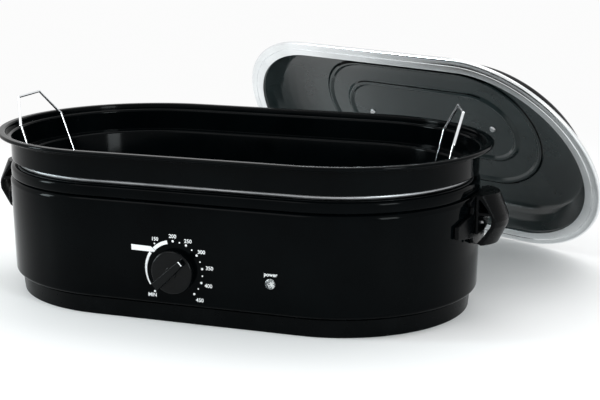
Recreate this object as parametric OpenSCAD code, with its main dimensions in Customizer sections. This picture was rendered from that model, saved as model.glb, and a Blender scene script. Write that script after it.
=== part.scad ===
// Electric roaster oven with a lift-out pan, a wire rack with two bails and a loose lid.
// Millimetres. +Z is up, -Y is the front. The origin is the middle of the footprint, on the counter.

/* [Body outline] */
// Half the body's length along X, at its shoulder
half_length = 265; // [240:1:300]
// Half the body's width along Y, at its shoulder, and the radius of its round ends
half_width = 150; // [140:1:160]
// How far the shell's wall draws in from its shoulder to its lower edge
shell_taper = 2.4; // [0:0.2:4]

/* [Heights] */
// Counter to the lower edge of the shell
seam_z = 20.3; // [19:0.5:26]
// Shell's lower edge to its top flange
shell_h = 108; // [100:0.5:120]
// Height of the band that carries the well
collar_h = 12.4; // [10:0.2:16]
// Pan's step to the top of its rim
pan_rim_h = 31.2; // [26:0.5:40]
// Depth of the pan's well below its step
pan_well_h = 109; // [90:1:111]

/* [Sheet and walls] */
// Thickness of the shell and of the band above it
shell_t = 1.2; // [0.8:0.1:1.6]
// Thickness of the heating well
well_t = 1; // [0.8:0.1:1.4]
// Thickness of the pan
pan_t = 1.4; // [1:0.1:1.8]
// Thickness of the lid's sheet
lid_t = 1.2; // [0.8:0.1:1.4]
// Wall of the moulded base
base_t = 2.2; // [1.8:0.1:3]
// Gap between pieces that rest on one another or are screwed together
seat_gap = 0.2; // [0.15:0.05:0.3]
// Gap round a shaft, lens, stem or screw that passes a hole
hole_gap = 0.3; // [0.2:0.05:0.5]

/* [Well and heater] */
// How far the well's wall lies inside the body outline at its top
well_inset = 13.7; // [13:0.1:16]
// How far the well's wall draws in per millimetre of depth
well_draft = 0.092; // [0.06:0.002:0.11]
// Radius of the well's rolled rim
well_roll_r = 2.6; // [2:0.1:3]
// Height of the heating band round the well
heater_h = 30; // [20:1:40]
// Lower edge of the heating band above the counter
heater_z = 46; // [45:1:52]
// Thickness of the heating band
heater_t = 2.5; // [1.5:0.1:3]
// Thickness of the mineral-wool blanket
blanket_t = 4.5; // [3:0.5:6]
// Upper edge of the blanket above the counter
blanket_top = 118; // [100:1:120]

/* [Pan] */
// Gap between the pan and the well at the well's rim
pan_gap = 1.3; // [1:0.1:2]
// How far the pan's upper wall lies inside the body outline
pan_wall_inset = 2.4; // [2:0.1:4]
// How far the pan's rim stands out past the body outline
rim_out = 12; // [9:0.5:14]
// Depth of the ledge for the lid below the rim
ledge_drop = 5.6; // [4:0.2:8]

/* [Rack] */
// Radius of the rack's outer wire
rack_wire_r = 2.2; // [1.8:0.1:2.8]
// Radius of the rack's cross wires and hook wires
cross_wire_r = 1.3; // [1:0.1:1.6]
// Spacing of the cross wires
cross_pitch = 17; // [12:1:24]
// How far the rack's outer wire lies inside the body outline
rack_inset = 36; // [35:1:40]
// Height of the rack above the pan's floor
rack_h = 10.6; // [9:0.2:16]
// How far each bail's hook wire lies inside the body outline's end
hook_inset = 61; // [59:1:70]
// Radius of the bail wire
bail_wire_r = 1.5; // [1.2:0.1:1.8]
// Half the distance between a bail's eyes
bail_eye_y = 50; // [40:1:54]
// Half the width of a bail's top bar
bail_top_y = 23.5; // [18:0.5:30]
// How far a bail's top bar stands out past the plane of its sides
bail_bend = 5; // [0:0.5:8]
// Length of a bail from its hook wire to its top bar
bail_len = 166; // [150:1:170]
// Angles at which the left and the right bail lean outward
bail_lean = [18.3, 12.5];
// Angles at which the left and the right hook wire stand across the rack
hook_turn = [0, 19];
// How far the left and the right bail sit along their hook wires from the middle
bail_shift = [0, 15];

/* [Lid] */
// How far the lid's edge lies inside the body outline
lid_inset = 1; // [0:0.5:3]
// Width of the lid's flange and its trim band
lid_flange = 14.5; // [12:0.5:18]
// Height of the lid's crown above its rim
lid_crown_h = 46; // [38:0.5:52]
// Radius of the trim band's rolled edge
trim_roll_r = 2.6; // [2.4:0.1:3.2]
// How far the lid handle's posts lie in from the ends of the straight sides
lid_post_in = 19; // [5:1:50]
// Radius of the lid handle's posts at the lid
lid_post_r = 9; // [7:0.5:11]
// Width and thickness of the lid handle's bar
lid_bar = [22, 11];
// How far the two beads in the lid's crown lie inside the body outline, at the ends and at the sides
bead_inset = [[105, 62], [137, 98]];
// Radius of the beads in the lid's crown
bead_r = 1.6; // [1.2:0.1:2]
// Height of the finger gap under the lid handle
lid_grip_gap = 24; // [18:1:34]
// Angle at which the standing lid leans forward
lid_lean = 34.2; // [30:0.2:36]
// Angle at which the standing lid is turned
lid_turn = -24.5; // [-26:0.5:-20]
// Place of the standing lid's middle along X
lid_x = 124.4; // [100:1:140]
// Place of the standing lid's middle along Y
lid_y = 269; // [268:1:300]

/* [Controls] */
// Place of the knob along the front
knob_x = -15.5; // [-60:0.5:60]
// Height of the knob and its shaft above the counter
knob_z = 57.8; // [54:0.2:70]
// Radius of the knob
knob_r = 22.5; // [18:0.5:26]
// Height of the knob's skirt
knob_skirt_h = 7; // [6.5:0.5:9]
// Height of the knob's grip above its skirt
knob_grip_h = 9; // [6:0.5:12]
// Angle of the knob's pointer from straight up, clockwise
knob_point = 47; // [30:1:60]
// Radius of the thermostat's shaft
shaft_r = 3; // [2.5:0.1:3.5]
// Width, height and depth of the thermostat
thermostat = [40, 32, 10];
// Place of the power lamp along the front
lamp_x = 88.5; // [70:0.5:110]
// Height of the power lamp above the counter
lamp_z = 54; // [48:1:60]
// Radius of the lamp's lens
lens_r = 5.3; // [4.5:0.1:6.5]

/* [Side handles] */
// Height of the side handles' upper face above the counter
grip_top = 131; // [126:1:134]
// Height of the side handles' lower edge above the counter
grip_low = 78; // [72:1:84]
// How far the side handles stand out past the body outline
grip_out = 32; // [28:1:36]
// Half the width of a grip, cut flat at both ends
grip_half = 26; // [22:1:30]
// Radius of a grip's rounded outside, seen from above
grip_r = 42; // [38:1:46]
// Wall of the grips
grip_t = 3; // [2.5:0.1:4]
// Thickness of the plate behind each grip
plate_t = 4; // [3:0.5:5]
// Half the length of the plate behind each grip
plate_half = 59; // [54:1:64]
// Radius of the handle screws
handle_screw_r = 2; // [1.5:0.1:2.5]
// Half the distance between the two screws of a handle
handle_screw_y = 14; // [10:1:16]

/* [Base and cord inlet] */
// How far the base ring lies inside the body outline at the counter
base_inset = 11; // [10:0.5:14]
// Radius of the rubber feet
foot_r = 9; // [7:0.5:12]
// How far the rubber feet lie past the ends of the straight sides
foot_out = 50; // [30:1:60]
// How far the rubber feet lie inside the body's sides
foot_inset = 68; // [60:1:90]
// How far the four studs lie past the ends of the straight sides
stud_out = 5; // [0:1:20]
// How far the four studs lie inside the body's sides
stud_inset = 88; // [80:1:110]
// Radius of the studs under the well
stud_r = 2.5; // [2:0.1:3]
// Place of the cord gland along the rear
gland_x = -90; // [-95:1:-60]
// Height of the cord gland above the counter
gland_z = 38; // [34:1:42]
// Radius of the hole for the cord
gland_bore_r = 3.6; // [3:0.1:4.2]
// How far the terminal block lies past the end of the straight side, and inside the rear wall
block_in = [35, 52];

/* [Hidden] */
$fn = 64;

// Heights that follow from the ones above
shoulder_z = seam_z + shell_h;
collar_z = shoulder_z + seat_gap;
collar_top = collar_z + collar_h;
well_rim_z = collar_top + seat_gap + well_roll_r;
step_z = well_rim_z + well_roll_r + seat_gap;
rim_z = step_z + pan_rim_h;
pan_floor_z = step_z - pan_well_h;
base_floor_z = 5;
base_top_z = seam_z - seat_gap;
lip_z = 0;

// Insets that follow from the ones above
flange_inset = well_inset - 1.1;
well_corner = 16;
well_floor_z = pan_floor_z - 8.5;
pan_corner = 18;
pan_well_inset = well_inset + well_t + pan_gap;
function shell_off(z) = -shell_taper * (shoulder_z - z) / shell_h;
function well_off(z) = -well_inset - well_draft * (collar_top - z);
function pan_off(z) = -pan_well_inset - (well_draft + 0.02) * (step_z - z);

// The outline: two straight sides and two half circles. [half length, half width]
body = [half_length, half_width];
straight = half_length - half_width;
foot_at = [straight + foot_out, half_width - foot_inset];
stud_at = [straight + stud_out, half_width - stud_inset];
hook_x = half_length - hook_inset;
lid_post_x = straight - lid_post_in;

// Half width of the outline grown by off at the place x, and its half length at the place y
function half_width_at(x, off) =
    x < straight ? half_width + off : sqrt(pow(half_width + off, 2) - pow(x - straight, 2));
function half_length_at(y, off) = straight + sqrt(pow(half_width + off, 2) - y * y);

// A profile, drawn as [distance outside the outline, height], run round the outline
module end_run(o, angle) {
    translate([o[0] - o[1], 0, 0])
        rotate([0, 0, -angle])
            rotate_extrude(angle = 2 * angle, $fn = 120)
                translate([o[1], 0]) children();
}
module run_round(o = body) {
    side = o[0] - o[1];
    for (turn = [0, 180])
        rotate([0, 0, turn]) {
            end_run(o, 90) children();
            translate([-side, 0, 0])
                rotate([90, 0, 90])
                    linear_extrude(2 * side)
                        translate([o[1], 0]) children();
        }
}
// Flat plate of the outline drawn in by inset, from z to z + t
module plate(inset, z, t) {
    r = half_width - inset;
    translate([-straight, -r, z]) cube([2 * straight, 2 * r, t]);
    for (s = [-1, 1]) translate([s * straight, 0, z]) cylinder(h = t, r = r, $fn = 120);
}
core_inset = 60;

// Sheet drawn from its outer line; the thickness lies to the left of the line's direction
function unit(v) = v / norm(v);
function left(v) = [-v[1], v[0]];
function mitre(p, i) =
    let (a = i > 0 ? left(unit(p[i] - p[i - 1])) : left(unit(p[1] - p[0])),
         b = i < len(p) - 1 ? left(unit(p[i + 1] - p[i])) : a)
    (a + b) / (1 + a * b);
function arc_points(centre, radius, from, to, steps) =
    [for (i = [0:steps]) centre + radius * [cos(from + (to - from) * i / steps), sin(from + (to - from) * i / steps)]];
module sheet(path, t) {
    polygon(concat(path, [for (i = [len(path) - 1:-1:0]) path[i] + t * mitre(path, i)]));
}

// Places on the front and rear walls: X along the wall, Y up, Z straight out of it
module on_wall(x, z, off, rear = false) {
    mirror([0, rear ? 1 : 0, 0])
        translate([x, -half_width - off, z])
            rotate([90, 0, 0]) children();
}
module at_four(p) {
    for (x = [-1, 1], y = [-1, 1]) translate([x * p[0], y * p[1], 0]) children();
}
module rod(p, q, r) {
    d = q - p;
    translate(p)
        rotate([0, acos(d[2] / norm(d)), atan2(d[1], d[0])])
            cylinder(h = norm(d), r = r, $fn = 24);
}
module wire(points, r) {
    for (i = [1:len(points) - 1]) rod(points[i - 1], points[i], i % 2 == 0 ? 0.98 * r : r);
    for (i = [1:len(points) - 2]) translate(points[i]) sphere(r = 1.08 * r, $fn = 24);
}

// ---- Base ----
base_screw_in = [15, 16];
base_screw_r = 1.6;
vent_pitch = 15;
vent = [4, 60];
module screw_places() {
    for (x = [-1, 0, 1], s = [-1, 1])
        translate([x * (straight - base_screw_in[0]), s * (half_width - base_screw_in[1]), 0]) children();
}
module base_pan() {
    color("#17191b") difference() {
        union() {
            run_round() sheet([[-base_inset - 6, lip_z], [-base_inset, lip_z],
                [shell_off(seam_z) - 6.5, base_top_z - 1.6], [shell_off(seam_z) - 8, base_top_z],
                [-20, base_top_z]], base_t);
            plate(base_inset + 1, base_floor_z, 2);
        }
        at_four(foot_at) translate([0, 0, base_floor_z - 1]) cylinder(h = 4, r = foot_stem_r + hole_gap);
        at_four(stud_at) translate([0, 0, base_floor_z - 1]) cylinder(h = 4, r = stud_r + hole_gap);
        screw_places() translate([0, 0, base_top_z - 4]) cylinder(h = 8, r = base_screw_r + hole_gap);
        for (i = [-6:6]) translate([i * vent_pitch - vent[0] / 2, -vent[1] / 2, base_floor_z - 1]) cube([vent[0], vent[1], 4]);
    }
}
foot_stem_r = 3;
module rubber_feet() {
    color("#0c0c0d") at_four(foot_at) {
        cylinder(h = base_floor_z - seat_gap, r = foot_r);
        cylinder(h = base_floor_z + 2 + seat_gap + 0.5, r = foot_stem_r);
        translate([0, 0, base_floor_z + 2 + seat_gap]) cylinder(h = 1.8, r1 = foot_stem_r + 1.4, r2 = foot_stem_r);
    }
}
module base_screws() {
    color("#b9bcbf") screw_places() {
        translate([0, 0, base_top_z - base_t - seat_gap - 1.8]) cylinder(h = 1.8, r = base_screw_r + 1.4);
        translate([0, 0, base_top_z - base_t - seat_gap - 0.5]) cylinder(h = base_t + 4.8, r = base_screw_r);
    }
}

// ---- Shell and band ----
module body_shell() {
    shoulder_r = 6;
    low_r = 5;
    low = shell_off(seam_z);
    path = concat(
        [[-19, seam_z]],
        arc_points([low - low_r, seam_z + low_r], low_r, -90, 0, 5),
        arc_points([-shoulder_r, shoulder_z - shoulder_r], shoulder_r, 0, 90, 6),
        [[-flange_inset, shoulder_z]]);
    color("#0b0e10") difference() {
        run_round() sheet(path, shell_t);
        screw_places() translate([0, 0, seam_z - 1]) cylinder(h = 4, r = base_screw_r + hole_gap);
        on_wall(knob_x, knob_z, 0) {
            translate([0, 0, -8]) cylinder(h = 12, r = bush_r + hole_gap);
            for (s = [-1, 1]) translate([s * bracket_screw_x, 0, -8]) cylinder(h = 12, r = bracket_screw_r + hole_gap);
        }
        on_wall(lamp_x, lamp_z, 0) translate([0, 0, -8]) cylinder(h = 12, r = lens_r - 0.8 + hole_gap);
        on_wall(gland_x, gland_z, 0, true) translate([0, 0, -8]) cylinder(h = 12, r = gland_r + hole_gap);
        handle_screw_lines() translate([0, 0, -12]) cylinder(h = 30, r = handle_screw_r + hole_gap);
    }
}
module collar_band() {
    e = 1.2;
    path = [[-flange_inset, collar_z], [-e - 2.2, collar_z], [-e, collar_z + 2.2], [-e, collar_top - 3.6],
        [-e - 1.4, collar_top - 1], [-e - 3.6, collar_top], [-flange_inset, collar_top]];
    color("#0d1012") run_round() sheet(path, shell_t);
}

// ---- Heating well, heater and blanket ----
module heating_well() {
    corner_z = well_floor_z + well_corner;
    wall = well_off(corner_z);
    path = concat(
        [[-core_inset, well_floor_z]],
        arc_points([wall - well_corner, corner_z], well_corner, -90, -4, 6),
        [[well_off(collar_top), collar_top], [well_off(collar_top) + 0.4, well_rim_z]]);
    color("#8f9498") {
        run_round() {
            sheet(path, well_t);
            translate([-well_inset + well_roll_r, well_rim_z]) circle(r = well_roll_r, $fn = 24);
        }
        plate(core_inset - 2, well_floor_z, well_t);
    }
}
module band_profile(z0, z1, gap, t) {
    polygon([[well_off(z0) + gap, z0], [well_off(z0) + gap + t, z0], [well_off(z1) + gap + t, z1], [well_off(z1) + gap, z1]]);
}
post_z = heater_z + 12;
post_x = [knob_x + 31, knob_x + 45];
module heater_band() {
    color("#b8a98c") {
        run_round() band_profile(heater_z, heater_z + heater_h, 0.3, heater_t);
        for (x = post_x) on_wall(x, post_z, well_off(post_z)) translate([0, 0, 1.5]) cylinder(h = 4.5, r = 1.5);
    }
}
module mineral_wool_blanket() {
    gap = heater_t + 0.6;
    color("#d9cf9a") difference() {
        run_round() band_profile(heater_z - 2, blanket_top, gap, blanket_t);
        on_wall(knob_x + 12, knob_z, -10) cube([thermostat[0] + 52, thermostat[1] + 12, 30], center = true);
        on_wall(lamp_x, lamp_z, -10) cube([22, 22, 30], center = true);
    }
}
shield_z = 17;
module heat_shield() {
    color("#c3c7ca") difference() {
        plate(34, shield_z, 0.8);
        at_four(stud_at) translate([0, 0, shield_z - 1]) cylinder(h = 3, r = stud_r + hole_gap);
    }
}
module well_studs() {
    color("#a9adb0") at_four(stud_at)
        translate([0, 0, 1]) cylinder(h = well_floor_z - seat_gap - 1, r = stud_r);
}
module stud_spacers() {
    low = base_floor_z + 2 + seat_gap;
    high = shield_z + 0.8 + seat_gap;
    color("#d8d4c8") at_four(stud_at) difference() {
        union() {
            translate([0, 0, low]) cylinder(h = shield_z - seat_gap - low, r = stud_r + 2.2);
            translate([0, 0, high]) cylinder(h = well_floor_z - seat_gap - high, r = stud_r + 2.2);
        }
        cylinder(h = well_floor_z + 1, r = stud_r + hole_gap / 2);
    }
}
module stud_nuts() {
    color("#b9bcbf") at_four(stud_at) difference() {
        translate([0, 0, base_floor_z - seat_gap - 2.6]) cylinder(h = 2.6, r = 4.6, $fn = 6);
        cylinder(h = base_floor_z, r = stud_r + 0.1);
    }
}

// ---- Thermostat, knob and lamp ----
bush_r = 4.5;
bracket_t = 1;
bracket_screw_x = 15;
bracket_screw_r = 1.6;
tab_h = 7;
tab_in = 2;
wall_in = shell_off(knob_z) - shell_t - 0.6;
bracket_back = wall_in - bracket_t;
body_back = bracket_back - seat_gap - thermostat[2];
module on_front_knob(off) { on_wall(knob_x, knob_z, off) children(); }
module thermostat_bracket() {
    color("#b4b7ba") on_front_knob(bracket_back) difference() {
        translate([-24, -14, 0]) cube([48, 28, bracket_t]);
        translate([0, 0, -1]) cylinder(h = 4, r = bush_r + hole_gap);
        for (s = [-1, 1]) translate([s * bracket_screw_x, 0, -1]) cylinder(h = 4, r = bracket_screw_r + hole_gap);
    }
}
module thermostat_body() {
    w = thermostat[0];
    h = thermostat[1];
    color("#e4e0d4") on_front_knob(body_back) difference() {
        union() {
            translate([-w / 2, -h / 2, 0]) cube([w, h, thermostat[2]]);
            cylinder(h = shell_off(knob_z) - body_back + 0.8, r = bush_r);
            for (x = [-12, 0, 12]) translate([x - 2, -h / 2 - tab_h, tab_in]) cube([4, tab_h + 1, 0.8]);
        }
        translate([0, 0, 3]) cylinder(h = 20, r = shaft_r + 0.05);
        for (s = [-1, 1]) translate([s * bracket_screw_x, 0, thermostat[2] - 5.2])
            cylinder(h = 8, r = bracket_screw_r + 0.1);
    }
}
knob_back = shell_off(knob_z) + 1.6;
module thermostat_screws() {
    color("#b9bcbf") for (s = [-1, 1]) on_front_knob(shell_off(knob_z)) translate([s * bracket_screw_x, 0, 0]) {
        translate([0, 0, 0.45]) cylinder(h = 1.7, r = 3);
        translate([0, 0, bracket_back - shell_off(knob_z) - 4]) cylinder(h = 5 - bracket_back + shell_off(knob_z), r = bracket_screw_r);
    }
}
module thermostat_shaft() {
    reach = knob_back + knob_skirt_h + knob_grip_h - 4 - (body_back + 3.3);
    color("#c9a64e") on_front_knob(body_back + 3.3) rotate([0, 0, -knob_point]) difference() {
        cylinder(h = reach, r = shaft_r);
        translate([-shaft_r, shaft_r - 1, reach - 9]) cube([2 * shaft_r, shaft_r, 12]);
    }
}
grip_bar = [41, 9, 6];
module control_knob() {
    edge = 2;
    color("#0c0d0e") on_front_knob(knob_back) rotate([0, 0, -knob_point]) difference() {
        union() {
            rotate_extrude(convexity = 4) {
                square([knob_r, knob_skirt_h - edge]);
                square([knob_r - edge, knob_skirt_h]);
                translate([knob_r - edge, knob_skirt_h - edge]) circle(r = edge, $fn = 32);
            }
            intersection() {
                cylinder(h = knob_skirt_h + knob_grip_h, r = grip_bar[0] / 2);
                linear_extrude(knob_skirt_h + knob_grip_h)
                    polygon([for (s = [-1, 1], t = [-s, s]) [t * grip_bar[s < 0 ? 1 : 2] / 2, s * knob_r]]);
            }
            cylinder(h = knob_skirt_h + 2, r = shaft_r + 3);
        }
        difference() {
            translate([0, 0, -1]) cylinder(h = 4.2, r = knob_r - 2.2);
            translate([0, 0, -2]) cylinder(h = 6, r = shaft_r + 2);
        }
        translate([0, 0, -1]) difference() {
            cylinder(h = knob_skirt_h + knob_grip_h - 2.8, r = shaft_r + 0.1);
            translate([-shaft_r - 1, shaft_r - 0.9, knob_skirt_h + knob_grip_h - 11]) cube([2 * shaft_r + 2, shaft_r, 12]);
        }
        translate([0, 0, -1]) cylinder(h = 1 + 1.4, r = bush_r + 0.8);
    }
}
module power_lamp_lens() {
    neck = 0.8;
    color("#e9eef2") on_wall(lamp_x, lamp_z, shell_off(lamp_z)) difference() {
        union() {
            translate([0, 0, 0.4]) cylinder(h = 1, r = lens_r);
            translate([0, 0, 1.4]) cylinder(h = 1.4, r1 = lens_r, r2 = lens_r - 1.8);
            translate([0, 0, -12]) cylinder(h = 13, r = lens_r - neck);
        }
        translate([0, 0, -13]) cylinder(h = 13, r = 3);
    }
}
neon_back = 12.6;
module power_lamp_neon() {
    color("#f0a070") on_wall(lamp_x, lamp_z, shell_off(lamp_z)) {
        translate([0, 0, -neon_back]) cylinder(h = neon_back - 2, r = 2.8);
        translate([0, 0, -2]) sphere(r = 1.9, $fn = 24);
    }
}
module power_lamp_clip() {
    color("#b4b7ba") on_wall(lamp_x, lamp_z, shell_off(lamp_z)) difference() {
        translate([0, 0, -shell_t - 0.7 - 0.8]) cylinder(h = 0.8, r = lens_r + 2.5);
        translate([0, 0, -5]) cylinder(h = 8, r = lens_r - 0.8 + 0.1);
    }
}

// ---- Cord inlet and wiring ----
gland_r = 7;
gland_relief_r = gland_bore_r + 0.8;
gland_grip = 6;
module cord_gland() {
    color("#101112") on_wall(gland_x, gland_z, shell_off(gland_z), true) difference() {
        union() {
            translate([0, 0, 0.5]) cylinder(h = 2.5, r = gland_r + 3);
            translate([0, 0, -9]) cylinder(h = 17, r = gland_r);
        }
        translate([0, 0, -10]) cylinder(h = 20, r = gland_bore_r);
        translate([0, 0, -10]) cylinder(h = 10 + 8 - gland_grip, r = gland_relief_r);
    }
}
module cord_gland_nut() {
    color("#1b1d1f") on_wall(gland_x, gland_z, shell_off(gland_z), true) difference() {
        translate([0, 0, -5.2]) cylinder(h = 3.4, r = gland_r + 3.4, $fn = 6);
        translate([0, 0, -7]) cylinder(h = 8, r = gland_r + 0.1);
    }
}
block = [36, 14, 8];
block_at = [-straight - block_in[0], half_width - block_in[1]];
module terminal_block() {
    low = base_floor_z + 2 + seat_gap;
    color("#e8e4da") translate([block_at[0], block_at[1], low]) difference() {
        translate([-block[0] / 2, -block[1] / 2, 0]) cube([block[0], block[1], block[2]]);
        for (x = [-10, 0, 10]) translate([x, 0, 3]) cylinder(h = 8, r = 2.2);
    }
}
lead_r = 1.3;
lead_inset = 23;
lead_z = base_floor_z + 5.5;
module internal_leads() {
    // Block to the thermostat and the heater's far post, then thermostat to the near post and the lamp
    tab_y = -half_width - body_back - tab_in - 0.4;
    tab_z = knob_z - thermostat[1] / 2 - tab_h - 0.3;
    post_y = -half_width - well_off(post_z) - 4.5;
    post_end = post_z - 1.5 - 0.3;
    start_y = block_at[1] - block[1] / 2 - 0.3;
    inner_y = -half_width + lead_inset;
    rise_z = base_top_z + 6.3;
    neon_y = -half_width - shell_off(lamp_z) + neon_back + lead_r + 0.3;
    color("#c8c8c4") {
        wire([[block_at[0] - 5, start_y, lead_z], [block_at[0] - 5, 20, lead_z], [knob_x - 12, -90, lead_z],
            [knob_x - 12, inner_y, lead_z], [knob_x - 12, inner_y, rise_z], [knob_x - 12, tab_y, rise_z],
            [knob_x - 12, tab_y, tab_z]], lead_r);
        wire([[block_at[0] + 5, start_y, lead_z], [block_at[0] + 5, 24, lead_z], [post_x[1], -90, lead_z],
            [post_x[1], inner_y, lead_z], [post_x[1], inner_y, rise_z], [post_x[1], post_y, rise_z],
            [post_x[1], post_y, post_end]], lead_r);
        wire([[knob_x + 12, tab_y, tab_z], [knob_x + 12, tab_y, tab_z - 4], [post_x[0], post_y, tab_z - 4],
            [post_x[0], post_y, post_end]], lead_r);
        wire([[knob_x, tab_y, tab_z], [knob_x, tab_y, rise_z - 2.4], [lamp_x, neon_y, rise_z - 2.4],
            [lamp_x, neon_y, lamp_z]], lead_r);
    }
}

// ---- Side handles ----
module at_side(side) { mirror([side < 0 ? 1 : 0, 0, 0]) children(); }
// Screw lines: through the shell's ends, Z pointing out along X
handle_screw_z = 101;
module handle_screw_lines() {
    for (side = [-1, 1], y = [-1, 1])
        at_side(side) translate([half_length, y * handle_screw_y, handle_screw_z]) rotate([0, 90, 0]) children();
}
module wing_cut() {
    // Seen from the end: a tab below, wide wings with slanting tops, narrow hooks above
    outline = [[plate_half - 43, grip_low - 1], [plate_half - 31, grip_low + 3.5], [plate_half - 28, grip_low + 9],
        [plate_half, grip_low + 13], [plate_half, grip_low + 26], [plate_half - 12, grip_low + 30.5],
        [plate_half - 28, grip_low + 34], [plate_half - 30, grip_low + 41], [plate_half - 23, grip_low + 43.5],
        [plate_half - 21, grip_top - 5.5], [plate_half - 29, grip_top - 2], [plate_half - 35, grip_top - 0.5]];
    polygon(concat(outline, [for (i = [len(outline) - 1:-1:0]) [-outline[i][0], outline[i][1]]]));
}
module handle_bores(h, r) {
    for (y = [-1, 1]) translate([half_length - 12, y * handle_screw_y, handle_screw_z])
        rotate([0, 90, 0]) cylinder(h = h, r = r);
}
plate_off = 0.4;
module handle_plate(side) {
    color("#111214") at_side(side) difference() {
        intersection() {
            end_run(body, asin((plate_half + 3) / half_width))
                translate([plate_off, grip_low - 3]) square([plate_t, grip_top - grip_low + 6]);
            rotate([90, 0, 90]) linear_extrude(half_length + 40) wing_cut();
        }
        handle_bores(30, handle_screw_r + hole_gap);
    }
}
module side_handle(side) {
    in = plate_off + plate_t + seat_gap;
    grip_x = half_length + grip_out - grip_r;
    high = grip_top - grip_t;
    bar_z = grip_low + 32;
    outer = [[0, grip_top], [grip_r - 10, grip_top], [grip_r - 0.6, grip_top - 23], [grip_r, grip_top - 27],
        [grip_r - 0.6, grip_top - 33], [grip_r - 10, grip_low], [grip_r - 17, grip_low + 6]];
    color("#0f1012") at_side(side) difference() {
        union() {
            intersection() {
                translate([grip_x, 0, 0]) rotate_extrude($fn = 96) difference() {
                    polygon(concat(outer, [[0, grip_low + 6]]));
                    polygon([[-1, bar_z + grip_t], [grip_r - grip_t - 2, bar_z + grip_t], [grip_r - grip_t - 9.5, high], [-1, high]]);
                    polygon([[-1, grip_low], [grip_r - 14.6, grip_low], [grip_r - 12.4, grip_low + 2.6],
                        [grip_r - grip_t - 0.8, grip_top - 32], [grip_r - grip_t, grip_top - 27],
                        [grip_r - grip_t - 0.6, bar_z], [-1, bar_z]]);
                }
                translate([grip_x, -grip_half, grip_low - 1]) cube([grip_r + 1, 2 * grip_half, grip_top - grip_low + 2]);
            }
            intersection() {
                end_run(body, asin((grip_half + 3) / half_width))
                    translate([in - 1, grip_low + 12]) square([grip_t + 1, high - grip_low - 11]);
                translate([0, -grip_half, 0]) cube([2 * half_length, 2 * grip_half, grip_top]);
            }
        }
        translate([straight, 0, 0]) cylinder(h = rim_z, r = half_width + in, $fn = 120);
        handle_bores(12 + in + grip_t + 3, handle_screw_r + 0.1);
    }
}
module handle_plate_left() { handle_plate(-1); }
module handle_plate_right() { handle_plate(1); }
module side_handle_left() { side_handle(-1); }
module side_handle_right() { side_handle(1); }
module handle_screws() {
    inner = half_length_at(handle_screw_y, 0) + shell_off(handle_screw_z) - shell_t - 0.5;
    color("#b9bcbf") for (side = [-1, 1], y = [-1, 1]) at_side(side)
        translate([0, y * handle_screw_y, handle_screw_z]) rotate([0, 90, 0]) {
            translate([0, 0, inner - 2.2]) cylinder(h = 2.2, r = handle_screw_r * 2);
            translate([0, 0, inner - 1]) cylinder(h = 13, r = handle_screw_r);
        }
}

// ---- Pan, rack and bails ----
module roasting_pan() {
    corner_z = pan_floor_z + pan_corner;
    wall = pan_off(corner_z);
    step_r = 1.6;
    ledge_z = rim_z - ledge_drop - pan_t;
    roll_r = 2.1;
    path = concat(
        [[-core_inset, pan_floor_z]],
        arc_points([wall - pan_corner, corner_z], pan_corner, -90, -6, 7),
        [[pan_off(step_z) - 0.2, step_z - 1.6], [pan_off(step_z) + 1, step_z]],
        arc_points([-pan_wall_inset - step_r, step_z + step_r], step_r, -90, 0, 4),
        [[-pan_wall_inset + 0.2, ledge_z - 1.5], [-pan_wall_inset + 1.4, ledge_z],
            [3.6, ledge_z], [4.4, ledge_z + 1], [4.6, rim_z - pan_t - 0.8], [5.5, rim_z - pan_t],
            [rim_out - roll_r, rim_z - pan_t]]);
    color("#0b0e10") {
        run_round() {
            sheet(path, pan_t);
            translate([rim_out - roll_r, rim_z - roll_r]) circle(r = roll_r, $fn = 24);
        }
        plate(core_inset - 2, pan_floor_z, pan_t);
    }
}
rack_z = pan_floor_z + pan_t + rack_h;
module hook_frame(side) {
    i = side < 0 ? 0 : 1;
    translate([side * hook_x, 0, rack_z]) rotate([0, 0, side < 0 ? 180 : hook_turn[i]]) children();
}
// Where a hook wire, at the distance s along it, meets the rack's outer wire
function hook_reach(side) =
    let (turn = side < 0 ? 0 : hook_turn[1], r = half_width - rack_inset, d = (hook_x - straight) * cos(turn),
         mid = (hook_x - straight) * sin(turn), half = sqrt(r * r - d * d))
    [mid - half, mid + half];
module rack_grid() {
    off = -rack_inset;
    count = floor((hook_x - 16) / cross_pitch);
    brace_y = 20;
    leg_at = [7 * cross_pitch, half_width - rack_inset - 15];
    color("#cfd3d6") {
        run_round() translate([off, rack_z]) circle(r = rack_wire_r, $fn = 24);
        for (i = [-count:count - 1]) {
            y = half_width_at(abs(i * cross_pitch), off);
            rod([i * cross_pitch, -y, rack_z], [i * cross_pitch, y, rack_z], cross_wire_r);
        }
        for (side = [-1, 1]) hook_frame(side) {
            reach = hook_reach(side);
            rod([0, reach[0], 0], [0, reach[1], 0], cross_wire_r);
        }
        for (y = [-brace_y, brace_y]) rod([-hook_x - 8, y, rack_z], [hook_x + 8, y, rack_z], rack_wire_r);
        for (x = [-1, 1], y = [-1, 1])
            translate([x * leg_at[0], y * leg_at[1], rack_z - rack_h + seat_gap]) cylinder(h = rack_h - seat_gap, r = rack_wire_r);
    }
}
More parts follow.
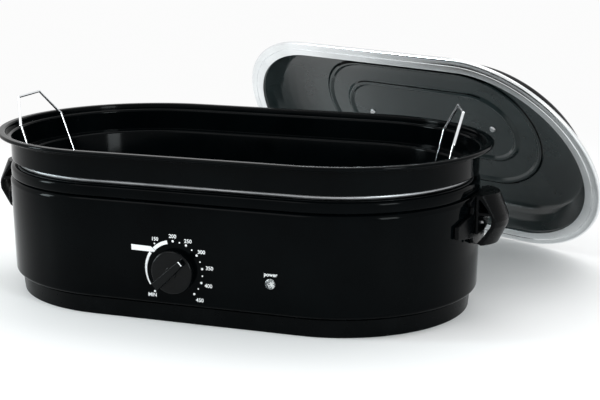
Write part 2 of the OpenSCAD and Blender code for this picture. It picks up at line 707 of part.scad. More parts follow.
module rack_bail(side) {
    i = side < 0 ? 0 : 1;
    eye_r = cross_wire_r + bail_wire_r + 0.6;
    start = eye_r + 0.4;
    knee = [bail_eye_y - 4, bail_len * 0.81];
    joint_r = 1.08 * bail_wire_r;
    color("#cfd3d6") hook_frame(side) translate([0, bail_shift[i], 0]) rotate([0, bail_lean[i], 0]) {
        for (s = [-1, 1]) {
            rod([0, s * bail_eye_y, start], [0, s * knee[0], knee[1]], bail_wire_r);
            rod([0, s * knee[0], knee[1]], [bail_bend, s * bail_top_y, bail_len], 0.98 * bail_wire_r);
            translate([0, s * knee[0], knee[1]]) sphere(r = joint_r, $fn = 24);
            translate([bail_bend, s * bail_top_y, bail_len]) sphere(r = joint_r, $fn = 24);
        }
        rod([bail_bend, -bail_top_y, bail_len], [bail_bend, bail_top_y, bail_len], bail_wire_r);
        for (s = [-1, 1]) translate([0, s * bail_eye_y, 0]) rotate([90, 0, 0]) rotate_extrude()
            translate([eye_r, 0]) circle(r = 1.1 * bail_wire_r, $fn = 24);
    }
}
module rack_bail_left() { rack_bail(-1); }
module rack_bail_right() { rack_bail(1); }

// ---- Lid, drawn lying on its rim and then stood up behind the body ----
module stand_lid() {
    lift = (half_width - lid_inset) * cos(lid_lean) + 0.2;
    translate([lid_x, lid_y, lift]) rotate([0, 0, lid_turn]) rotate([lid_lean - 90, 0, 0]) children();
}
edge = -lid_inset;
slot_z = 1;
flange_top = slot_z + 0.25 + lid_t;
crown = lid_crown_h;
crown_inset = 92;
// The dome's curve: distance inside the lid's edge, and share of the crown's height
dome_in = [19.5, 25, 33, 44, 58, 74];
dome_up = [0.35, 0.58, 0.75, 0.86, 0.93, 0.975];
module lid_dome() {
    path = concat(
        [[edge - 4.2, flange_top], [edge - lid_flange + 1.5, flange_top], [edge - lid_flange - 1.5, flange_top + 2.4]],
        [for (i = [0:len(dome_in) - 1]) [edge - dome_in[i], crown * dome_up[i]]],
        [[-crown_inset, crown]]);
    color("#2b3033") stand_lid() difference() {
        union() {
            run_round() sheet(path, lid_t);
            plate(crown_inset - 2, crown - lid_t, lid_t);
            run_round(body - bead_inset[0]) translate([0, crown - 0.6]) circle(r = bead_r, $fn = 20);
            run_round(body - bead_inset[1]) translate([0, crown - 0.4]) circle(r = bead_r, $fn = 20);
        }
        for (x = [-1, 1]) translate([x * lid_post_x, 0, crown - 4]) cylinder(h = 8, r = lid_screw_r + hole_gap);
    }
}
module lid_trim_band() {
    r = trim_roll_r;
    color("#dfe3e5") stand_lid() run_round() difference() {
        union() {
            translate([edge - r, r]) circle(r = r, $fn = 32);
            translate([edge - lid_flange, 0]) square([lid_flange - r, slot_z]);
            translate([edge - 9, flange_top + 0.25]) square([9 - r, 0.9]);
        }
        translate([edge - 20, slot_z]) square([16.2, lid_t + 0.5]);
    }
}
lid_screw_r = 2;
lid_screw_h = 12;
module lid_handle() {
    low = crown + 0.3;
    bar_z = low + lid_grip_gap;
    color("#101113") stand_lid() difference() {
        union() {
            for (x = [-1, 1]) translate([x * lid_post_x, 0, low])
                cylinder(h = lid_grip_gap + lid_bar[1] / 2, r1 = lid_post_r, r2 = lid_post_r - 1);
            translate([-lid_post_x, -lid_bar[0] / 2, bar_z]) cube([2 * lid_post_x, lid_bar[0], lid_bar[1]]);
            for (x = [-1, 1]) translate([x * lid_post_x, 0, bar_z]) cylinder(h = lid_bar[1], r = lid_bar[0] / 2);
        }
        for (x = [-1, 1]) translate([x * lid_post_x, 0, low - 1]) cylinder(h = lid_screw_h + 1, r = lid_screw_r + 0.1);
    }
}
module lid_handle_screws() {
    color("#c4c8cb") stand_lid() for (x = [-1, 1]) translate([x * lid_post_x, 0, crown - lid_t]) {
        translate([0, 0, -seat_gap - lid_screw_r]) cylinder(h = lid_screw_r, r1 = 1.5 * lid_screw_r, r2 = 2.1 * lid_screw_r);
        translate([0, 0, -1]) cylinder(h = lid_screw_h, r = lid_screw_r);
    }
}

base_pan();
rubber_feet();
base_screws();
body_shell();
collar_band();
heating_well();
heater_band();
mineral_wool_blanket();
heat_shield();
well_studs();
stud_spacers();
stud_nuts();
thermostat_bracket();
thermostat_body();
thermostat_screws();
thermostat_shaft();
control_knob();
power_lamp_lens();
power_lamp_neon();
power_lamp_clip();
terminal_block();
internal_leads();
cord_gland();
cord_gland_nut();
handle_plate_left();
handle_plate_right();
side_handle_left();
side_handle_right();
handle_screws();
roasting_pan();
rack_grid();
rack_bail_left();
rack_bail_right();
lid_dome();
lid_trim_band();
lid_handle();
lid_handle_screws();
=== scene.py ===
import math

import bmesh
import bpy
from mathutils import Matrix, Vector


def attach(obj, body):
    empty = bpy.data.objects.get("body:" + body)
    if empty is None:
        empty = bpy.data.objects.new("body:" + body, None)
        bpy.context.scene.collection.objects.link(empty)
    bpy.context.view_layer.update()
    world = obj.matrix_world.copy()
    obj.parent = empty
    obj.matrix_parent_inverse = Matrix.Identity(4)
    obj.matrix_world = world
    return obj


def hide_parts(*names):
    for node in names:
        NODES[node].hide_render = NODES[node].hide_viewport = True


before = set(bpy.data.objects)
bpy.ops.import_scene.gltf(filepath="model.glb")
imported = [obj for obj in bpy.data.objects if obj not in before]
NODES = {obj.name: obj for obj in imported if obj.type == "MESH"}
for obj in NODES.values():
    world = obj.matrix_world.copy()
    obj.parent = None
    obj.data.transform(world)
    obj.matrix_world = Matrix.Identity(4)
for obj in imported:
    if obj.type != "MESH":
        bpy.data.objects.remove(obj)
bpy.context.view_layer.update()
MM = 0.001

# ---- Camera ----
CAMERA = {"azimuth": 19.01, "elevation": 13.09, "distance": 1.49224, "lens": 82.2,
          "target": (0.06851, 0.0, 0.10552)}


def make_camera():
    data = bpy.data.cameras.new("camera")
    data.lens = CAMERA["lens"]
    data.sensor_width = 36.0
    data.sensor_fit = "HORIZONTAL"
    data.clip_start = 0.05
    data.clip_end = 60.0
    cam = bpy.data.objects.new("camera", data)
    az, el = math.radians(CAMERA["azimuth"]), math.radians(CAMERA["elevation"])
    back = Vector((math.sin(az) * math.cos(el), -math.cos(az) * math.cos(el), math.sin(el)))
    cam.location = Vector(CAMERA["target"]) + back * CAMERA["distance"]
    cam.rotation_euler = back.to_track_quat("Z", "Y").to_euler()
    bpy.context.scene.collection.objects.link(cam)
    bpy.context.scene.camera = cam


make_camera()
bpy.context.scene.view_settings.view_transform = "Standard"

# ---- Sizes, in millimetres, as in the solids ----
HALF_LENGTH, HALF_WIDTH = 265.0, 150.0
SEAM, SHELL_H, COLLAR_H, RIM_H, ROLL = 20.3, 108.0, 12.4, 31.2, 2.6
SHOULDER = SEAM + SHELL_H
COLLAR = SHOULDER + 0.2
COLLAR_TOP = COLLAR + COLLAR_H
STEP = COLLAR_TOP + 0.4 + 2 * ROLL
RIM = STEP + RIM_H
PAN_FLOOR = STEP - 109.0
TAPER = 2.4
WELL_DRAFT = 0.092
PAN_INSET = 16.0
SHEET, PAN_SHEET = 1.2, 1.4
FLANGE_IN = -12.6
LID = {"lean": 34.2, "turn": -24.5, "x": 124.4, "y": 269.0,
       "inset": 1.0, "flange": 19.5, "crown": 46.0, "sheet": 1.2}
DOME_IN = (23.5, 28, 33, 44, 58, 74)
DOME_UP = (0.33, 0.56, 0.75, 0.86, 0.93, 0.975)
BEADS = ((160, 88), (128, 52))
BEAD_WIDTH, BEAD_PROUD, BEAD_SUNK = 5.0, 2.8, 0.15
KNOB = (-15.5, 57.9)
LAMP = (88.5, 54.2)
POINTER = 47.0


def shell_off(z):
    return -TAPER * (SHOULDER - z) / SHELL_H


def pan_off(z):
    return -PAN_INSET - (WELL_DRAFT + 0.02) * (STEP - z)


# ---- Node helpers for materials ----
class Shade:
    def __init__(self, name, color, rough, metallic=0.0):
        self.mat = bpy.data.materials.new(name)
        self.mat.use_nodes = True
        self.t = self.mat.node_tree
        self.bsdf = self.t.nodes["Principled BSDF"]
        self.set("Base Color", (*color, 1.0))
        self.set("Roughness", rough)
        self.set("Metallic", metallic)
        self.coords = self.t.nodes.new("ShaderNodeTexCoord").outputs["Object"]

    def set(self, socket, value):
        self.bsdf.inputs[socket].default_value = value
        return self

    def noise(self, scale, detail=4.0, rough=0.55, stretch=None):
        n = self.t.nodes.new("ShaderNodeTexNoise")
        n.inputs["Scale"].default_value = scale
        n.inputs["Detail"].default_value = detail
        n.inputs["Roughness"].default_value = rough
        source = self.coords
        if stretch:
            m = self.t.nodes.new("ShaderNodeMapping")
            m.inputs["Scale"].default_value = stretch
            self.t.links.new(self.coords, m.inputs["Vector"])
            source = m.outputs["Vector"]
        self.t.links.new(source, n.inputs["Vector"])
        return n.outputs["Fac"]

    def voronoi(self, scale):
        n = self.t.nodes.new("ShaderNodeTexVoronoi")
        n.inputs["Scale"].default_value = scale
        self.t.links.new(self.coords, n.inputs["Vector"])
        return n.outputs

    def ramp(self, fac, stops):
        n = self.t.nodes.new("ShaderNodeValToRGB")
        e = n.color_ramp.elements
        while len(e) < len(stops):
            e.new(0.5)
        for el, (pos, col) in zip(e, stops):
            el.position = pos
            el.color = (*col, 1.0) if len(col) == 3 else col
        self.t.links.new(fac, n.inputs["Fac"])
        return n.outputs["Color"]

    def color(self, fac, a, b, lo=0.35, hi=0.65):
        self.t.links.new(self.ramp(fac, [(lo, a), (hi, b)]), self.bsdf.inputs["Base Color"])
        return self

    def rough(self, fac, a, b, lo=0.3, hi=0.7):
        self.t.links.new(self.ramp(fac, [(lo, (a,) * 3), (hi, (b,) * 3)]), self.bsdf.inputs["Roughness"])
        return self

    def bump(self, *layers):
        normal = None
        for fac, strength, distance in layers:
            b = self.t.nodes.new("ShaderNodeBump")
            b.inputs["Strength"].default_value = strength
            b.inputs["Distance"].default_value = distance
            self.t.links.new(fac, b.inputs["Height"])
            if normal:
                self.t.links.new(normal, b.inputs["Normal"])
            normal = b.outputs["Normal"]
        self.t.links.new(normal, self.bsdf.inputs["Normal"])
        return self


def enamel(name, a, b, rough, specular):
    s = Shade(name, a, rough)
    s.set("Specular IOR Level", specular)
    s.color(s.noise(9.0, 6.0, 0.6), a, b)
    s.rough(s.noise(35.0, 5.0), rough * 0.8, rough * 1.35)
    return s.bump((s.noise(60.0, 2.0), 0.06, 0.0006), (s.noise(900.0, 2.0), 0.05, 0.0001))


def plastic(name, a, b, rough, specular=0.35, grain=1800.0, depth=0.35):
    s = Shade(name, a, rough)
    s.set("Specular IOR Level", specular)
    s.color(s.noise(25.0, 5.0), a, b)
    s.rough(s.noise(120.0, 4.0), rough * 0.85, min(1.0, rough * 1.2))
    return s.bump((s.noise(grain, 3.0), depth, 0.00008), (s.noise(70.0, 2.0), 0.05, 0.0004))


def metal(name, a, b, rough, stretch=(40.0, 40.0, 900.0), depth=0.12):
    s = Shade(name, a, rough, 1.0)
    s.color(s.noise(18.0, 5.0), a, b)
    s.rough(s.noise(6.0, 6.0, 0.6, stretch), rough * 0.7, min(1.0, rough * 1.5))
    return s.bump((s.noise(5.0, 5.0, 0.6, stretch), depth, 0.00006))


def fibre(name, a, b):
    s = Shade(name, a, 0.95)
    s.color(s.noise(300.0, 8.0, 0.7, (1.0, 1.0, 4.0)), a, b, 0.3, 0.7)
    return s.bump((s.noise(500.0, 8.0, 0.8, (1.0, 1.0, 6.0)), 0.8, 0.0012))


M = {}
M["shell"] = enamel("shell_enamel", (0.0003, 0.0006, 0.0008), (0.0009, 0.0015, 0.0018), 0.08, 0.032)
M["pan"] = enamel("pan_enamel", (0.0003, 0.0007, 0.0009), (0.0010, 0.0017, 0.0020), 0.10, 0.042)
# The lid's slate colour is painted sheen: a lighter copy of the black enamel, for the light its inside
# catches
M["lid"] = enamel("lid_enamel", (0.013, 0.020, 0.021), (0.026, 0.037, 0.038), 0.17, 0.50)
M["handle"] = plastic("handle_plastic", (0.0004, 0.0006, 0.0008), (0.0012, 0.0015, 0.0018), 0.28, 0.06)
M["knob"] = plastic("knob_plastic", (0.0006, 0.0010, 0.0012), (0.0018, 0.0024, 0.0028), 0.20, 0.12,
                    1400.0, 0.10)
M["base"] = plastic("base_plastic", (0.0004, 0.0008, 0.0010), (0.0013, 0.0018, 0.0021), 0.24, 0.045)
M["rubber"] = plastic("foot_rubber", (0.010, 0.010, 0.010), (0.022, 0.021, 0.020), 0.82, 0.2, 900.0, 0.6)
M["ceramic"] = plastic("ceramic_white", (0.62, 0.59, 0.52), (0.74, 0.71, 0.64), 0.45, 0.5, 700.0, 0.3)
M["chrome"] = metal("chrome_wire", (0.62, 0.64, 0.66), (0.80, 0.82, 0.84), 0.13)
M["trim"] = metal("trim_chrome", (0.70, 0.72, 0.73), (0.84, 0.86, 0.87), 0.16, (60.0, 60.0, 60.0), 0.05)
M["zinc"] = metal("zinc_steel", (0.46, 0.47, 0.48), (0.62, 0.63, 0.64), 0.34)
M["well"] = metal("well_steel", (0.30, 0.31, 0.32), (0.44, 0.45, 0.46), 0.42, (3.0, 3.0, 60.0))
M["shield"] = metal("shield_aluminium", (0.60, 0.61, 0.62), (0.74, 0.75, 0.76), 0.38)
M["brass"] = metal("shaft_brass", (0.55, 0.40, 0.16), (0.70, 0.53, 0.24), 0.28)
M["mica"] = plastic("heater_mica", (0.34, 0.28, 0.18), (0.50, 0.43, 0.30), 0.6, 0.4, 260.0, 0.5)
M["wool"] = fibre("mineral_wool", (0.50, 0.43, 0.20), (0.70, 0.63, 0.36))
M["sleeve"] = fibre("lead_sleeve", (0.42, 0.42, 0.40), (0.62, 0.62, 0.59))


def glassy(name, color, rough, transmission):
    s = Shade(name, color, rough)
    s.set("Transmission Weight", transmission)
    s.set("IOR", 1.49)
    s.color(s.noise(400.0, 3.0), color, tuple(min(1.0, c * 1.1) for c in color))
    return s.bump((s.voronoi(700.0)["Distance"], 0.5, 0.0004))


def faceted_lens():
    s = Shade("lens_clear", (0.5, 0.52, 0.53), 0.08)
    s.set("Transmission Weight", 0.35)
    s.set("IOR", 1.49)
    cells = s.voronoi(620.0)
    glints = [(0.25, (0.05, 0.055, 0.06)), (0.5, (0.30, 0.32, 0.33)), (0.75, (0.86, 0.88, 0.88))]
    s.t.links.new(s.ramp(cells["Color"], glints), s.bsdf.inputs["Base Color"])
    return s.bump((cells["Distance"], 0.7, 0.0008))


M["lens"] = faceted_lens()
M["neon"] = glassy("neon_glass", (0.80, 0.45, 0.25), 0.2, 0.4)


def printed():
    s = Shade("white_print", (0.80, 0.81, 0.81), 0.45)
    s.color(s.noise(900.0, 4.0), (0.70, 0.71, 0.72), (0.86, 0.87, 0.87))
    return s.bump((s.noise(2500.0, 2.0), 0.2, 0.00005))


M["print"] = printed()

NODE_LOOKS = {
    "base_pan": "base", "rubber_feet": "rubber", "base_screws": "zinc", "body_shell": "shell",
    "collar_band": "shell", "heating_well": "well", "heater_band": "mica",
    "mineral_wool_blanket": "wool", "heat_shield": "shield", "well_studs": "zinc",
    "stud_spacers": "ceramic", "stud_nuts": "zinc", "thermostat_bracket": "zinc",
    "thermostat_body": "ceramic", "thermostat_screws": "zinc", "thermostat_shaft": "brass",
    "control_knob": "knob", "power_lamp_lens": "lens", "power_lamp_neon": "neon",
    "power_lamp_clip": "zinc", "terminal_block": "ceramic", "internal_leads": "sleeve",
    "cord_gland": "base", "cord_gland_nut": "base", "handle_plate_left": "handle",
    "handle_plate_right": "handle", "side_handle_left": "handle", "side_handle_right": "handle",
    "handle_screws": "zinc", "roasting_pan": "pan", "rack_grid": "chrome", "rack_bail_left": "chrome",
    "rack_bail_right": "chrome", "lid_dome": "lid", "lid_trim_band": "trim", "lid_handle": "handle",
    "lid_handle_screws": "zinc",
}


def dress(obj, look):
    obj.data.materials.clear()
    obj.data.materials.append(M[look].mat)


for node_name, look_name in NODE_LOOKS.items():
    dress(NODES[node_name], look_name)


# ---- Mesh helpers ----
def rounded(points, radii, steps=6):
    """The open line through points, with its inner corners rounded."""
    out = [Vector(points[0])]
    for i in range(1, len(points) - 1):
        p = Vector(points[i])
        a, b = Vector(points[i - 1]) - p, Vector(points[i + 1]) - p
        r = radii[i - 1]
        angle = a.angle(b)
        if r <= 0 or angle > math.radians(179):
            out.append(p)
            continue
        cut = min(r / math.tan(angle / 2), a.length * 0.49, b.length * 0.49)
        r = cut * math.tan(angle / 2)
        u, v = a.normalized(), b.normalized()
        centre = p + (u + v).normalized() * (r / math.sin(angle / 2))
        s, e = p + u * cut - centre, p + v * cut - centre
        turn = s.angle_signed(e)
        for k in range(steps + 1):
            w = turn * k / steps
            c, n = math.cos(w), math.sin(w)
            out.append(centre + Vector((s.x * c + s.y * n, -s.x * n + s.y * c)))
    out.append(Vector(points[-1]))
    return out


def thick(line, t):
    """Closed loop: the line, and the same line moved t to its left."""
    inner = []
    for i, p in enumerate(line):
        d = (line[min(i + 1, len(line) - 1)] - line[max(i - 1, 0)]).normalized()
        inner.append(p + Vector((-d.y, d.x)) * t)
    return list(line) + inner[::-1]


def ring(centre, radius, steps=20):
    angles = [2 * math.pi * k / steps for k in range(steps)]
    return [Vector((centre[0] + radius * math.cos(a), centre[1] + radius * math.sin(a))) for a in angles]


def stations(straight, ends=56, sides=28):
    """Places round a stadium: the centre of curvature's x, and the outward direction."""
    out = []
    for k in range(ends + 1):
        a = math.radians(-90 + 180 * k / ends)
        out.append((straight, math.cos(a), math.sin(a)))
    out += [(straight - 2 * straight * k / sides, 0.0, 1.0) for k in range(1, sides)]
    for k in range(ends + 1):
        a = math.radians(90 + 180 * k / ends)
        out.append((-straight, math.cos(a), math.sin(a)))
    out += [(-straight + 2 * straight * k / sides, 0.0, -1.0) for k in range(1, sides)]
    return out


def finish_mesh(bm, name, look, angle=32.0, matrix=None):
    bmesh.ops.recalc_face_normals(bm, faces=bm.faces[:])
    mesh = bpy.data.meshes.new(name)
    bm.to_mesh(mesh)
    bm.free()
    mesh.transform(Matrix.Scale(MM, 4))
    if matrix:
        mesh.transform(matrix)
    mesh.polygons.foreach_set("use_smooth", [True] * len(mesh.polygons))
    mesh.set_sharp_from_angle(angle=math.radians(angle))
    obj = bpy.data.objects.new(name, mesh)
    bpy.context.scene.collection.objects.link(obj)
    dress(obj, look)
    return obj


def add_sweep(bm, loop, half=(HALF_LENGTH, HALF_WIDTH), caps=()):
    """Runs a closed loop of (distance outside the outline, height) round a stadium.
    The rows named in caps are filled across."""
    place = stations(half[0] - half[1])
    rows = []
    for x, nx, ny in place:
        rows.append([bm.verts.new((x + nx * (half[1] + p[0]), ny * (half[1] + p[0]), p[1])) for p in loop])
    n, m = len(place), len(loop)
    open_edge = set(caps)
    for i in range(n):
        a, b = rows[i], rows[(i + 1) % n]
        for k in range(m):
            j = (k + 1) % m
            if k in open_edge and j in open_edge:
                continue
            bm.faces.new((a[k], b[k], b[j], a[j]))
    for k in caps:
        bm.faces.new([rows[i][k] for i in range(n)])


def swap(name, bm, look, node, body, angle=32.0, matrix=None):
    obj = finish_mesh(bm, name, look, angle, matrix)
    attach(obj, body)
    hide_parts(node)
    return obj


# ---- Shell and band ----
bm = bmesh.new()
low = shell_off(SEAM)
line = rounded([(-19, SEAM), (low, SEAM), (0, SHOULDER), (FLANGE_IN, SHOULDER)], [5, 6], 10)
add_sweep(bm, thick(line, SHEET))
swap("shell_skin", bm, "shell", "body_shell", "base")

bm = bmesh.new()
line = rounded([(FLANGE_IN, COLLAR), (-SHEET, COLLAR), (-SHEET, COLLAR_TOP), (FLANGE_IN, COLLAR_TOP)],
               [2.4, 4.0], 8)
add_sweep(bm, thick(line, SHEET))
swap("band_skin", bm, "shell", "collar_band", "base")

# ---- Pan ----
bm = bmesh.new()
ledge = RIM - 5.6 - PAN_SHEET
roll_x, roll_r = 9.9, 2.1
line = rounded(
    [(-60, PAN_FLOOR), (pan_off(PAN_FLOOR), PAN_FLOOR), (pan_off(STEP) + 0.4, STEP), (-2.4, STEP),
     (-2.2, ledge), (4.5, ledge), (4.9, RIM - PAN_SHEET), (roll_x, RIM - PAN_SHEET)],
    [18, 1.6, 1.8, 1.4, 1.0, 0.9], 9)
loop = thick(line, PAN_SHEET)
add_sweep(bm, loop, caps=(0, len(loop) - 1))
add_sweep(bm, ring((roll_x, RIM - roll_r), roll_r))
swap("pan_skin", bm, "pan", "roasting_pan", "pan")


# ---- Lid, drawn lying on its rim and stood up as in the solids ----
def lid_matrix():
    lean, turn = math.radians(LID["lean"] - 90), math.radians(LID["turn"])
    lift = (HALF_WIDTH - LID["inset"]) * math.cos(math.radians(LID["lean"])) + 0.2
    place = Matrix.Translation(Vector((LID["x"], LID["y"], lift)) * MM)
    return place @ Matrix.Rotation(turn, 4, "Z") @ Matrix.Rotation(lean, 4, "X")


bm = bmesh.new()
edge, crown, top = -LID["inset"], LID["crown"], 1 + 0.25 + LID["sheet"]
line = rounded(
    [(edge - 4.2, top), (edge - LID["flange"], top)]
    + [(edge - inward, crown * up) for inward, up in zip(DOME_IN, DOME_UP)] + [(-92, crown)],
    [2.2, 40, 30, 30, 40, 60, 120], 8)
loop = thick(line, LID["sheet"])
add_sweep(bm, loop, caps=(len(line) - 1, len(line)))


def inner_height(x, y):
    """Height of the dome's inner face at a place inside the outline."""
    over = max(abs(x) - (HALF_LENGTH - HALF_WIDTH), 0.0)
    off = math.hypot(over, y) - HALF_WIDTH
    below = [p for p in line if p.x >= off]
    a, b = (below[-1], line[min(len(below), len(line) - 1)]) if below else (line[0], line[0])
    t = 0.0 if abs(a.x - b.x) < 1e-6 else (a.x - off) / (a.x - b.x)
    return a.y + (b.y - a.y) * min(max(t, 0.0), 1.0) - LID["sheet"]


def add_bead(bm, half, width, proud, points=9):
    """A closed ridge on the dome's inner face, sunk a little into it at its two edges."""
    rows = []
    for x, nx, ny in stations(half[0] - half[1]):
        row = []
        for k in range(points):
            u = -1 + 2 * k / (points - 1)
            px, py = x + nx * (half[1] + u * width), ny * (half[1] + u * width)
            drop = (proud + BEAD_SUNK) * math.cos(u * math.pi / 2) ** 1.4
            row.append(bm.verts.new((px, py, inner_height(px, py) + BEAD_SUNK - drop)))
        rows.append(row)
    for i in range(len(rows)):
        a, b = rows[i], rows[(i + 1) % len(rows)]
        for k in range(points):
            j = (k + 1) % points
            bm.faces.new((a[k], b[k], b[j], a[j]))


for half in BEADS:
    add_bead(bm, half, BEAD_WIDTH, BEAD_PROUD)
bmesh.ops.recalc_face_normals(bm, faces=bm.faces[:])

# The lid's inner faces take a lighter slate copy of the black enamel, as painted sheen; its outer faces
# take the black shell enamel
flat = HALF_LENGTH - HALF_WIDTH
outer = []
for f in bm.faces:
    c = f.calc_center_median()
    outer.append(int(f.normal.dot(c - Vector((min(max(c.x, -flat), flat), 0, 5))) > 0))
lid_skin = swap("lid_skin", bm, "lid", "lid_dome", "lid", 40.0, lid_matrix())
lid_skin.data.materials.append(M["shell"].mat)
lid_skin.data.polygons.foreach_set("material_index", outer)

# The lid's band: a flat face with a groove, a turned edge, and a lip over the flange
bm = bmesh.new()
r = 2.6
turns = [math.radians(a) for a in range(-125, 91, 12)]
turned = [Vector((edge - r + r * math.cos(a), r + r * math.sin(a))) for a in turns]
inner_edge = edge - LID["flange"]
face = [(inner_edge, 0.9), (inner_edge, 0.35), (inner_edge + 0.5, 0.1),
        (edge - 10.4, 0.1), (edge - 10.0, 0.7), (edge - 9.2, 0.7), (edge - 8.8, 0.1)]
lip = [(edge - 9, 2 * r), (edge - 9, 2 * r - 0.8), (edge - 3.2, 2 * r - 0.8), (edge - 3.2, 0.98)]
add_sweep(bm, [Vector(p) for p in face] + turned + [Vector(p) for p in lip])
swap("trim_skin", bm, "trim", "lid_trim_band", "lid", 40.0, lid_matrix())


# ---- Moulded pieces: the solids with their edges softened ----
def softened(node, name, look, body, voxel, rounds):
    mesh = NODES[node].data.copy()
    obj = bpy.data.objects.new(name, mesh)
    bpy.context.scene.collection.objects.link(obj)
    m = obj.modifiers.new("remesh", "REMESH")
    m.mode = "VOXEL"
    m.voxel_size = voxel * MM
    m.use_smooth_shade = True
    s = obj.modifiers.new("smooth", "SMOOTH")
    s.factor = 0.5
    s.iterations = rounds
    bpy.context.view_layer.update()
    done = bpy.data.meshes.new_from_object(obj.evaluated_get(bpy.context.evaluated_depsgraph_get()))
    obj.modifiers.clear()
    obj.data = done
    dress(obj, look)
    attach(obj, body)
    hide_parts(node)
    return obj


for side in ("left", "right"):
    softened("side_handle_" + side, "grip_" + side, "handle", "base", 0.45, 5)
    softened("handle_plate_" + side, "wing_" + side, "handle", "base", 0.45, 4)
softened("lid_handle", "lid_grip", "handle", "lid", 0.7, 6)
softened("control_knob", "knob_skin", "knob", "knob", 0.3, 5)


# ---- Printing on the front wall ----
WALL_TILT = math.atan(TAPER / SHELL_H)
INK = 0.06


def on_wall(obj, x, z, proud=0.12):
    obj.location = Vector((x, -(HALF_WIDTH + shell_off(z)) - proud, z)) * MM
    obj.rotation_euler = (math.pi / 2 + WALL_TILT, 0, 0)
    bpy.context.scene.collection.objects.link(obj)
    obj.data.materials.append(M["print"].mat)
    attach(obj, "base")


def text(name, words, x, z, size):
    data = bpy.data.curves.new(name, "FONT")
    data.body = words
    data.size = size * MM
    data.align_x = "CENTER"
    data.align_y = "CENTER"
    data.extrude = 0.04 * MM
    data.offset = 0.10 * MM
    data.resolution_u = 6
    on_wall(bpy.data.objects.new(name, data), x, z)


def at_dial(radius, angle):
    a = math.radians(angle)
    return KNOB[0] + radius * math.sin(a), KNOB[1] + radius * math.cos(a)


def add_prism(bm, outline, z0, z1):
    face = bm.faces.new([bm.verts.new((x, y, z0)) for x, y in outline])
    lift = bmesh.ops.extrude_face_region(bm, geom=[face])
    for v in lift["geom"]:
        if isinstance(v, bmesh.types.BMVert):
            v.co.z = z1


def flat_shape(name, outlines, proud=0.12):
    """Thin printed shapes from lists of (x, z) places on the wall, drawn about the dial's middle."""
    bm = bmesh.new()
    for outline in outlines:
        add_prism(bm, [(x - KNOB[0], z - KNOB[1]) for x, z in outline], 0, INK)
    bmesh.ops.recalc_face_normals(bm, faces=bm.faces[:])
    mesh = bpy.data.meshes.new(name)
    bm.to_mesh(mesh)
    bm.free()
    mesh.transform(Matrix.Scale(MM, 4))
    on_wall(bpy.data.objects.new(name, mesh), KNOB[0], KNOB[1], proud)


def dot(radius, angle, r):
    return [tuple(p) for p in ring(at_dial(radius, angle), r, 24)]


def arc(r0, r1, a0, a1, steps=24):
    """Band between two radii from angle a0 to a1, whose width may differ at its two ends."""
    def edge_at(r):
        shares = [k / steps for k in range(steps + 1)]
        return [at_dial(r[0] + (r[1] - r[0]) * t, a0 + (a1 - a0) * t) for t in shares]

    return edge_at(r1) + edge_at(r0)[::-1]


STEP_ANGLE, FIRST_ANGLE = 27.6, -1.4
NUMBER_RADII = (36.2, 36.0, 37.6, 39.2, 39.4, 39.8)
marks = []
for k, number_radius in enumerate(NUMBER_RADII):
    marks.append(dot(31.2, FIRST_ANGLE + STEP_ANGLE * k, 1.25))
    if k < len(NUMBER_RADII) - 1:
        marks.append(dot(31.0, FIRST_ANGLE + STEP_ANGLE * (k + 0.5), 0.85))
    x, z = at_dial(number_radius, FIRST_ANGLE + STEP_ANGLE * k)
    text("dial_%d" % (200 + 50 * k), str(200 + 50 * k), x, z, 5.6)
marks.append(dot(32.6, -136.8, 1.2))
marks.append(dot(34.4, -38.0, 0.9))
flat_shape("dial_dots", marks)
x, z = at_dial(37.6, -138.0)
text("dial_min", "MIN", x, z, 5.4)
x, z = at_dial(38.0, -33.0)
text("dial_150", "150", x, z, 5.2)
flat_shape("dial_arc_left", [arc((29.6, 31.0), (32.6, 32.4), -56, -122)])
flat_shape("dial_arc_top", [arc((28.6, 28.6), (32.4, 32.4), -46, -13)])
bar_end = [at_dial(28.6, -46.6), at_dial(32.4, -46.6)]
flat_shape("dial_bar", [[(-62.6, 76.4), (bar_end[0][0] - 1.0, 76.0), bar_end[0], bar_end[1],
                         (bar_end[1][0] - 1.6, 81.6), (-62.8, 82.2)]])
text("lamp_word", "power", LAMP[0] + 0.3, LAMP[1] + 9.2, 5.4)


# ---- Pointer mark of the knob ----
def knob_piece(name, outline, z0, z1, look):
    """A prism drawn on the knob's face: X across, Y towards the pointer, Z out of the wall."""
    bm = bmesh.new()
    add_prism(bm, outline, z0, z1)
    back = HALF_WIDTH + shell_off(KNOB[1]) + 1.6
    place = Matrix.Translation(Vector((KNOB[0], -back, KNOB[1])) * MM)
    turn = Matrix.Rotation(math.pi / 2, 4, "X") @ Matrix.Rotation(-math.radians(POINTER), 4, "Z")
    obj = finish_mesh(bm, name, look, 32.0, place @ turn)
    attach(obj, "knob")


knob_piece("knob_mark", [(-2.7, 18.3), (2.7, 18.3), (2.6, 19.5), (-2.6, 19.5)], 15.9, 16.04, "print")

# ---- Floor, light and backdrop ----
def background_rays(tree):
    """1 on the rays that show the backdrop: seen, mirrored or through glass."""
    path = tree.nodes.new("ShaderNodeLightPath")
    total = path.outputs["Is Camera Ray"]
    for kind in ("Is Glossy Ray", "Is Transmission Ray"):
        add = tree.nodes.new("ShaderNodeMath")
        add.operation = "ADD"
        add.use_clamp = True
        tree.links.new(total, add.inputs[0])
        tree.links.new(path.outputs[kind], add.inputs[1])
        total = add.outputs[0]
    return total


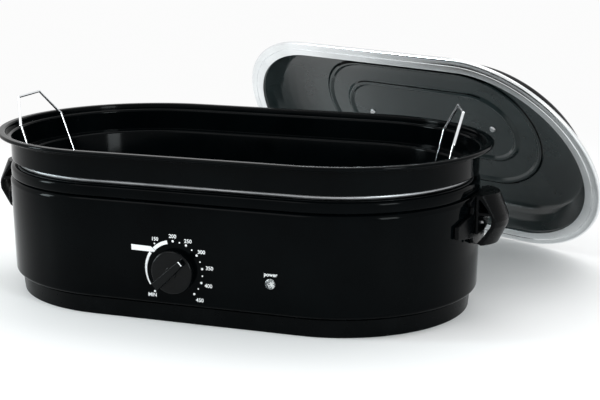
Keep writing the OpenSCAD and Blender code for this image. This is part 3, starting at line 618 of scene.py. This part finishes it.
def stage_floor():
    """A pale floor that keeps the shadow near the object and turns plain white away from it."""
    bm = bmesh.new()
    bmesh.ops.create_grid(bm, x_segments=2, y_segments=2, size=1.0)
    mesh = bpy.data.meshes.new("floor")
    bm.to_mesh(mesh)
    bm.free()
    obj = bpy.data.objects.new("floor", mesh)
    obj.scale = (14.0, 14.0, 1.0)
    obj.location = (0, 0, -0.0005)
    bpy.context.scene.collection.objects.link(obj)
    s = Shade("floor_white", (0.90, 0.90, 0.90), 0.6)
    s.set("Specular IOR Level", 0.15)
    s.color(s.noise(1.5, 3.0), (0.89, 0.89, 0.89), (0.91, 0.91, 0.91))
    t = s.t
    geo = t.nodes.new("ShaderNodeNewGeometry")
    far = t.nodes.new("ShaderNodeVectorMath")
    far.operation = "DISTANCE"
    far.inputs[1].default_value = (0.06, 0.10, 0.0)
    t.links.new(geo.outputs["Position"], far.inputs[0])
    fade = t.nodes.new("ShaderNodeMapRange")
    fade.interpolation_type = "SMOOTHSTEP"
    fade.inputs["From Min"].default_value = 0.30
    fade.inputs["From Max"].default_value = 1.1
    t.links.new(far.outputs["Value"], fade.inputs["Value"])
    both = t.nodes.new("ShaderNodeMath")
    both.operation = "MULTIPLY"
    t.links.new(fade.outputs["Result"], both.inputs[0])
    t.links.new(background_rays(t), both.inputs[1])
    glow = t.nodes.new("ShaderNodeEmission")
    glow.inputs["Color"].default_value = (0.97, 0.97, 0.97, 1.0)
    mix = t.nodes.new("ShaderNodeMixShader")
    t.links.new(both.outputs[0], mix.inputs["Fac"])
    t.links.new(s.bsdf.outputs[0], mix.inputs[1])
    t.links.new(glow.outputs[0], mix.inputs[2])
    t.links.new(mix.outputs[0], t.nodes["Material Output"].inputs["Surface"])
    obj.data.materials.append(s.mat)


stage_floor()


def area(name, place, aim, size, watts, color=(1, 1, 1)):
    data = bpy.data.lights.new(name, "AREA")
    data.shape = "RECTANGLE"
    data.size, data.size_y = size
    data.energy = watts
    data.color = color
    obj = bpy.data.objects.new(name, data)
    obj.location = place
    obj.rotation_euler = (Vector(place) - Vector(aim)).to_track_quat("Z", "Y").to_euler()
    bpy.context.scene.collection.objects.link(obj)


area("key", (-1.1, -1.5, 2.3), (0, 0, 0.1), (1.6, 1.0), 16)
area("top", (0.2, 0.9, 2.6), (0, 0, 0.1), (2.4, 1.2), 16)
area("strip_left", (-1.8, -0.8, 0.55), (-0.15, 0, 0.1), (0.34, 0.9), 24, (0.84, 0.97, 1.0))
area("strip_right", (1.7, -1.1, 0.7), (0.3, 0.2, 0.12), (0.5, 0.9), 22, (0.90, 0.98, 1.0))

# The world: white where it is seen or mirrored, a soft studio gradient where it lights
world = bpy.data.worlds.new("studio")
bpy.context.scene.world = world
world.use_nodes = True
wt = world.node_tree
background = wt.nodes["Background"]
coords = wt.nodes.new("ShaderNodeTexCoord")
split = wt.nodes.new("ShaderNodeSeparateXYZ")
ramp = wt.nodes.new("ShaderNodeMapRange")
ramp.inputs["From Min"].default_value = -0.6
ramp.inputs["From Max"].default_value = 0.5
ramp.inputs["To Min"].default_value = 0.55
ramp.inputs["To Max"].default_value = 1.05
wt.links.new(coords.outputs["Generated"], split.inputs["Vector"])
wt.links.new(split.outputs["Y"], ramp.inputs["Value"])
wt.links.new(ramp.outputs["Result"], background.inputs["Strength"])
background.inputs["Color"].default_value = (1.0, 1.0, 1.0, 1.0)
seen = wt.nodes.new("ShaderNodeBackground")
seen.inputs["Color"].default_value = (1.0, 1.0, 1.0, 1.0)
pick = wt.nodes.new("ShaderNodeMixShader")
wt.links.new(background_rays(wt), pick.inputs["Fac"])
wt.links.new(background.outputs[0], pick.inputs[1])
wt.links.new(seen.outputs[0], pick.inputs[2])
wt.links.new(pick.outputs[0], wt.nodes["World Output"].inputs["Surface"])

bpy.context.view_layer.update()
